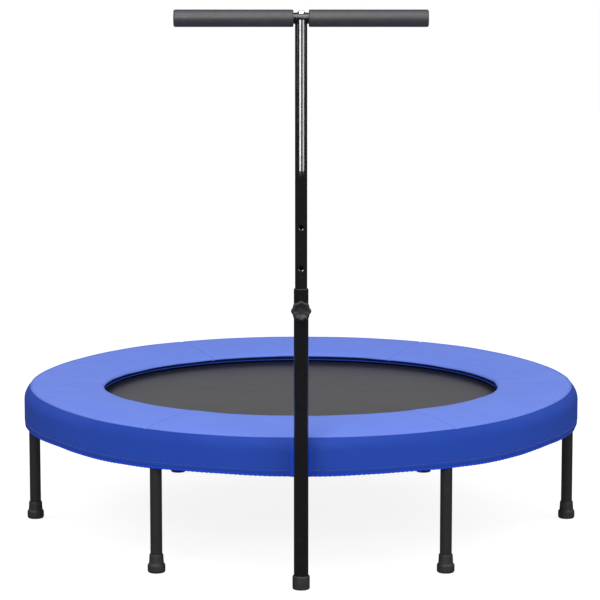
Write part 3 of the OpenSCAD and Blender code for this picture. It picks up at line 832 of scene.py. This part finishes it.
def v_rings():
    """Bent wire triangles, one in each tape loop."""
    low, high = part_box("v_rings")
    base_z, apex_z = low.z + 1.3 * MM, high.z - 1.3 * MM
    wires = []
    for k in range(36):
        middle = 10 * k + 5
        half = 12 * MM
        corners = [(V_BASE_R, 0.0), (V_BASE_R, half), (V_APEX_R, 0.0), (V_BASE_R, -half), (V_BASE_R, 0.0)]
        path = np.array(rounded_outline(corners, 2.5 * MM, 6))[:-1]
        z = base_z + (apex_z - base_z) * (path[:, 0] - V_BASE_R) / (V_APEX_R - V_BASE_R)
        deg = middle + np.degrees(np.arctan2(path[:, 1], path[:, 0]))
        line = polar(np.hypot(path[:, 0], path[:, 1]), deg, z)
        wires.append(tube_along(f"v_ring_{k}", line, V_WIRE_R, closed=True))
    piece = join("v_ring_wires", wires)
    finish_piece(piece, "bed", "zinc", ["v_rings"])


def springs():
    """Close-wound tension springs with a hook at each end. Each stretches between the bed and the ring."""
    coil_r, wire = 4.3 * MM, 1.15 * MM
    start_r, end_r = V_APEX_R, RING_R - 9.5 * MM
    start_z, end_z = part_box("v_rings")[1].z - 1.3 * MM, RING_Z + 1.0 * MM
    turns, per_turn = 17, 14
    for k in range(36):
        deg = 10 * k + 5
        length = math.hypot(end_r - start_r, end_z - start_z)
        coil_from, coil_to = 0.17 * length, 0.80 * length
        path = [(3.0 * MM - 3.0 * MM * math.cos(a), 0.0, -3.0 * MM * math.sin(a))
                for a in np.radians(np.linspace(-120, 150, 14))]
        path.append((coil_from - 2 * MM, 0.0, -1.2 * MM))
        angles = np.linspace(0, turns * math.tau, turns * per_turn)
        for a in angles:
            x = coil_from + (coil_to - coil_from) * a / angles[-1]
            path.append((x, coil_r * math.sin(a), coil_r * math.cos(a)))
        path.append((coil_to + 2.5 * MM, 0.0, 1.5 * MM))
        path += [(coil_to + 5 * MM, 0, 0), (length - 4 * MM, 0, 0), (length, 0, 0),
                 (length + 2.6 * MM, 0, -0.6 * MM)]
        path = np.array(path)
        unit_r, unit_z = (end_r - start_r) / length, (end_z - start_z) / length
        r = start_r + path[:, 0] * unit_r - path[:, 2] * unit_z
        z = start_z + path[:, 0] * unit_z + path[:, 2] * unit_r
        line = polar(np.hypot(r, path[:, 1]), deg + np.degrees(np.arctan2(path[:, 1], r)), z)
        piece = tube_along(f"spring_{k + 1:02d}", line, wire, sides=6)
        piece.data.materials.append(MATS["zinc"])
        polar(start_r + 2 * MM, deg, start_z).tolist()
        polar(end_r - 2 * MM, deg, start_z).tolist()
        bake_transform(piece)
        if k == 0:
            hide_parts("springs")


# ---------------------------------------------------------------- feet, knob, grips and bolt
def feet():
    """Moulded rubber feet: a tapered cup on a wider tread with a chamfered foot."""
    for i in SIDES:
        low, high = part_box(f"foot_{i}")
        leg_low, leg_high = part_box(f"leg_{i}")
        tube = (leg_high.y - leg_low.y) / 2
        r, h = (high.y - low.y) / 2, high.z - low.z
        centre = ((low.x + high.x) / 2, (low.y + high.y) / 2, 0)
        corners = [(0, 0), (r - 2.2 * MM, 0), (r - 0.6 * MM, 2.0 * MM), (r, 4.0 * MM), (r, 14.5 * MM),
                   (r - 0.8 * MM, 17.5 * MM), (tube + 3.1 * MM, 18.8 * MM), (tube + 2.9 * MM, 22 * MM),
                   (tube + 2.0 * MM, h - 1 * MM), (tube + 1.4 * MM, h), (tube + 0.1 * MM, h),
                   (tube + 0.1 * MM, h - 6 * MM)]
        foot = lathe(f"rubber_foot_{i}", rounded_outline(corners, 0.9 * MM, 4), centre, segments=72)
        finish_piece(foot, "frame", "rubber", [f"foot_{i}"])
    low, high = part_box("post_foot")
    tube = (post_high.x - post_low.x) / 2
    r, h = (high.x - low.x) / 2, high.z
    corners = [(0, 0), (r - 1.6 * MM, 0), (r, 2 * MM), (r, h - 3 * MM), (r - 1.2 * MM, h),
               (tube + 0.1 * MM, h), (tube + 0.1 * MM, h - 6 * MM)]
    cap = lathe("post_rubber_cap", rounded_outline(corners, 1.2 * MM, 5), (0, POST_Y, 0), segments=80)
    finish_piece(cap, "frame", "rubber", ["post_foot"])


def lock_knob():
    """The lobed lock knob, with a raised rim, a shallow dish in its face and a neck at the back."""
    low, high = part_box("lock_knob")
    r = (high.x - low.x) / 2
    depth = high.y - low.y
    lobes, lobe_depth = 8, 0.105
    neck_r, bore_r = 10.2 * MM, 4.2 * MM

    def lobed(angle, from_front):
        share = np.clip((depth - 4.5 * MM - from_front) / (1.5 * MM), 0, 1)
        wave = 0.5 + 0.5 * np.cos(lobes * angle)
        return 1 - lobe_depth * (1 - wave ** 0.8) * share

    corners = [(0, 3.4 * MM), (r * 0.42, 3.2 * MM), (r * 0.62, 1.2 * MM), (r * 0.86, 0.0),
               (r * 0.985, 1.6 * MM), (r, 4.2 * MM), (r, depth - 9 * MM), (r * 0.93, depth - 6.2 * MM),
               (neck_r + 0.4 * MM, depth - 5.2 * MM), (neck_r, depth), (bore_r, depth)]
    rounding = np.array([0, 2, 3, 2.4, 2, 2, 2, 1.5, 1, 0.8, 0]) * MM
    outline = rounded_outline(corners, rounding, 5)
    knob = lathe("lobed_knob", outline, ((low.x + high.x) / 2, low.y, (low.z + high.z) / 2), axis="Y",
                 segments=192, radius_change=lobed)
    finish_piece(knob, "knob", "knob", ["lock_knob"])


def grips():
    """Closed-end foam grips, slightly soft at both ends."""
    for name in ("grip_left", "grip_right"):
        low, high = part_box(name)
        side = -1 if low.x < 0 else 1
        inner, outer = sorted((abs(low.x), abs(high.x)))
        r = (high.y - low.y) / 2
        bar_low, bar_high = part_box("crossbar")
        bar = (bar_high.y - bar_low.y) / 2
        length = outer - inner
        centre = (side * inner, (low.y + high.y) / 2, (low.z + high.z) / 2)
        corners = [(bar + 0.1 * MM, 4 * MM), (bar + 0.1 * MM, 0), (r - 1.2 * MM, 0),
                   (r - 0.15 * MM, 2.4 * MM), (r - 0.15 * MM, length * 0.5),
                   (r - 0.1 * MM, length - 3.4 * MM), (r - 1.4 * MM, length - 0.4 * MM),
                   (r * 0.55, length), (0, length - 0.2 * MM)]
        outline = [(a, side * b) for a, b in rounded_outline(corners, 1.8 * MM, 5)]
        grip = lathe(f"foam_{name}", outline, centre, axis="X", segments=96)
        finish_piece(grip, "handle", "grip", [name])


# ---------------------------------------------------------------- carried-over CAD nodes
NODE_LOOKS = {
    "paint": ["ring_front", "ring_right", "ring_left", "leg_sockets", "post", "knob_boss", "post_arm",
              "ring_saddle", "handle_tube", "bar_saddle", "crossbar"],
    "leg_paint": [f"leg_{i}" for i in SIDES],
    "zinc": ["ring_bolts", "ring_nuts", "leg_studs", "saddle_bolts", "rivet_nuts", "lock_stud",
             "knob_washer"],
    "chrome": ["bar_bolt"],
    "steel": ["ring_spigots"],
    "plastic": ["post_bush", "tube_plug"],
}


def dress_nodes():
    for look, names in NODE_LOOKS.items():
        for name in names:
            mesh = nodes[name].data
            mesh.materials.clear()
            mesh.materials.append(MATS[look])


# ---------------------------------------------------------------- stage, light and camera
def stage():
    """A pale floor that gives off a little light, so that the shadow under the bed stays soft."""
    size = 60.0
    verts = [(-size, -size, 0), (size, -size, 0), (size, size, 0), (-size, size, 0)]
    floor = finish_mesh("floor", verts, [(0, 1, 2, 3)], smooth=False)
    m = Material("floor_paint", (0.16, 0.16, 0.16), 0.9, Specular_IOR_Level=0.0)
    m.bsdf.inputs["Emission Color"].default_value = (1, 1, 1, 1)
    m.bsdf.inputs["Emission Strength"].default_value = 0.87
    cloudy = m.noise(1.5, 2)
    m.tint(m.ramp(cloudy, 0.3, 0.7, 0, 0.3), (0.18, 0.18, 0.18))
    floor.data.materials.append(m.done())
    floor.visible_glossy = False


def area_light(name, place, target, size, power, color=(1, 1, 1)):
    light = bpy.data.lights.new(name, "AREA")
    light.shape = "RECTANGLE"
    light.size, light.size_y = size
    light.energy = power
    light.color = color
    lamp = bpy.data.objects.new(name, light)
    lamp.location = place
    lamp.rotation_mode = "QUATERNION"
    lamp.rotation_quaternion = (Vector(target) - Vector(place)).to_track_quat("-Z", "Y")
    bpy.context.scene.collection.objects.link(lamp)
    return lamp


def softbox_place(target, azimuth, elevation, distance):
    """A light's place seen from the target, with the azimuth counted from the front towards +X."""
    a, e = math.radians(azimuth), math.radians(elevation)
    way = Vector((math.sin(a) * math.cos(e), -math.cos(a) * math.cos(e), math.sin(e)))
    return Vector(target) + way * distance, target


def lights():
    world = bpy.data.worlds.new("studio")
    bpy.context.scene.world = world
    world.use_nodes = True
    tree = world.node_tree
    background = tree.nodes["Background"]
    background.inputs["Color"].default_value = (1, 1, 1, 1)
    path = tree.nodes.new("ShaderNodeLightPath")
    seen = tree.nodes.new("ShaderNodeMapRange")
    seen.inputs["To Min"].default_value = 0.8
    seen.inputs["To Max"].default_value = 1.0
    tree.links.new(path.outputs["Is Camera Ray"], seen.inputs["Value"])
    mirrored = tree.nodes.new("ShaderNodeMapRange")
    mirrored.inputs["To Min"].default_value = 0.0
    mirrored.inputs["To Max"].default_value = 0.74
    tree.links.new(path.outputs["Is Glossy Ray"], mirrored.inputs["Value"])
    level = tree.nodes.new("ShaderNodeMath")
    level.operation = "SUBTRACT"
    tree.links.new(seen.outputs["Result"], level.inputs[0])
    tree.links.new(mirrored.outputs["Result"], level.inputs[1])
    tree.links.new(level.outputs[0], background.inputs["Strength"])
    bed = (0, AXIS_Y, MAT_TOP)
    grips_at = (0, POST_Y + 0.06, 1.0)
    area_light("overhead", (0, -1.0, 3.9), bed, (2.4, 2.0), 42)
    area_light("top_front", (0, -3.2, 4.2), grips_at, (3.0, 2.0), 92)
    area_light("backdrop", (0, AXIS_Y + 12, 2.7), bed, (12.0, 3.6), 106)
    area_light("front_left", *softbox_place(grips_at, -18, 20, 5.2), (2.7, 1.1), 165)
    area_light("front_right", *softbox_place(grips_at, 44, 17.5, 5.2), (2.4, 1.1), 92)
    for side in (-1, 1):
        area_light(f"side_{side}", *softbox_place(bed, 88 * side, 40, 3.6), (3.0, 2.0), 56)


CAMERA_DISTANCE = 6.0    # from the bed's axis
CAMERA_X = -0.0022
CAMERA_HEIGHT = 1.331
CAMERA_PITCH = 7.99      # degrees below the horizon
SENSOR_MM = 36
LENS_MM = 165.24


def camera():
    data = bpy.data.cameras.new("photo_view")
    data.sensor_width = SENSOR_MM
    data.lens = LENS_MM
    data.clip_end = 200
    cam = bpy.data.objects.new("photo_view", data)
    cam.location = (CAMERA_X, AXIS_Y - CAMERA_DISTANCE, CAMERA_HEIGHT)
    cam.rotation_euler = (math.radians(90 - CAMERA_PITCH), 0, 0)
    bpy.context.scene.collection.objects.link(cam)
    bpy.context.scene.camera = cam
    bpy.context.scene.view_settings.view_transform = "Standard"


# ---------------------------------------------------------------- build
for side in SIDES:
    pad_panel(side)
    skirt_panel(side)
pad_piping()
pad_lining()
seam_lines()
skirt_binding()
pad_straps()
jumping_mat()
mat_edge()
v_rings()
springs()
feet()
lock_knob()
grips()
dress_nodes()
stage()
lights()
camera()
